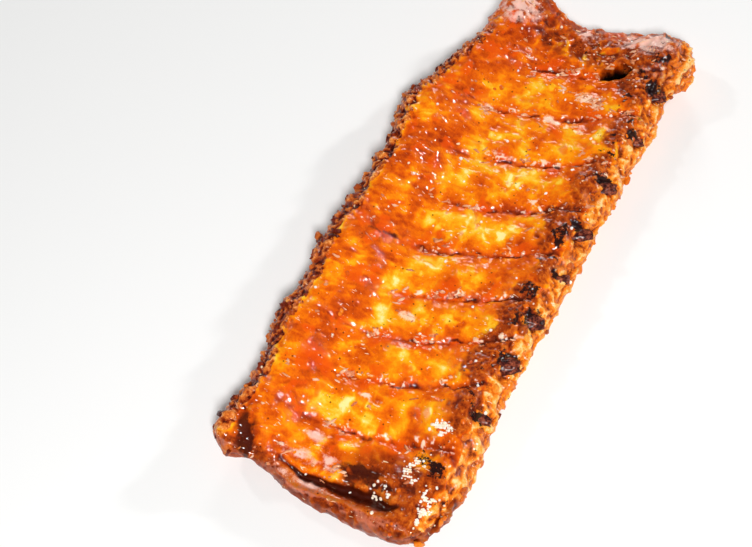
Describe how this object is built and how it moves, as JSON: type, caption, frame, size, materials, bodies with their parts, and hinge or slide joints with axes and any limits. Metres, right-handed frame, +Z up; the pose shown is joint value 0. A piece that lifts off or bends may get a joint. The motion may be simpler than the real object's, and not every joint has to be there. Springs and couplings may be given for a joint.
{
  "type": "rack of ribs",
  "caption": "Whole glazed rack of roasted pork ribs lying bone side up: a shallow trough crossed by low ribs, with a thick curled rim and sawn bone ends along the other side.",
  "frame": {"origin": "middle of the footprint, on the surface the slab rests on", "axes": "+X along the slab from the folded end to the lumpy end, +Y across it from the sawn bone ends to the thick rim, +Z up"},
  "size_m": [0.3588, 0.145, 0.0388],
  "materials": {
    "meat": "sticky orange glaze over roasted meat",
    "crust": "browned and charred crust of the edges",
    "glaze": "wet amber sauce",
    "bone": "porous sawn bone, charred dark brown"
  },
  "bodies": {
    "root": {"meat": "meat", "bone_01": "bone", "bone_02": "bone", "bone_03": "bone", "bone_04": "bone", "bone_05": "bone", "bone_06": "bone", "bone_07": "bone", "bone_08": "bone", "bone_09": "bone", "bone_10": "bone"}
  },
  "joints": []
}
